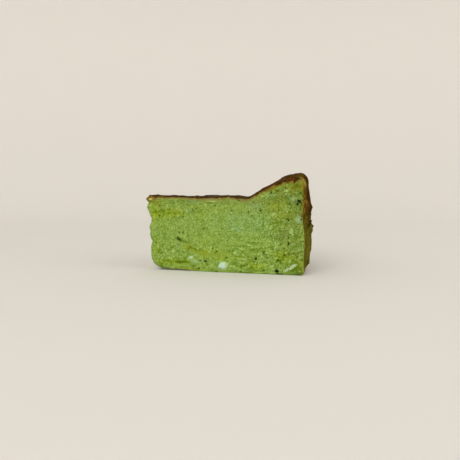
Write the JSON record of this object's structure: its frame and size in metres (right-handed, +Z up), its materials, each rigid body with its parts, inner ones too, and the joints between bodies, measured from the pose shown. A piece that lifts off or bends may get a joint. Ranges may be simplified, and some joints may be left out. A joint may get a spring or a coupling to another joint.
{
  "type": "slice of matcha basque cheesecake",
  "caption": "Wedge of green matcha cheesecake with flat knife-cut sides, a sunken browned top, a raised uneven rim and a creased browned outer wall.",
  "frame": {"origin": "middle of the slice's bounding box, on the flat base it stands on", "axes": "+X from the tip along the middle of the wedge to the outer wall, +Z up through the browned top, -Y towards the side of the cut face that the picture shows"},
  "size_m": [0.0772, 0.0584, 0.0457],
  "materials": {
    "matcha_cake": "dull, moist, fine-grained green baked cream cheese; top and outer wall browned to a thin dark skin with a slight gloss"
  },
  "bodies": {
    "root": {"cheesecake_slice": "matcha_cake"}
  },
  "joints": []
}
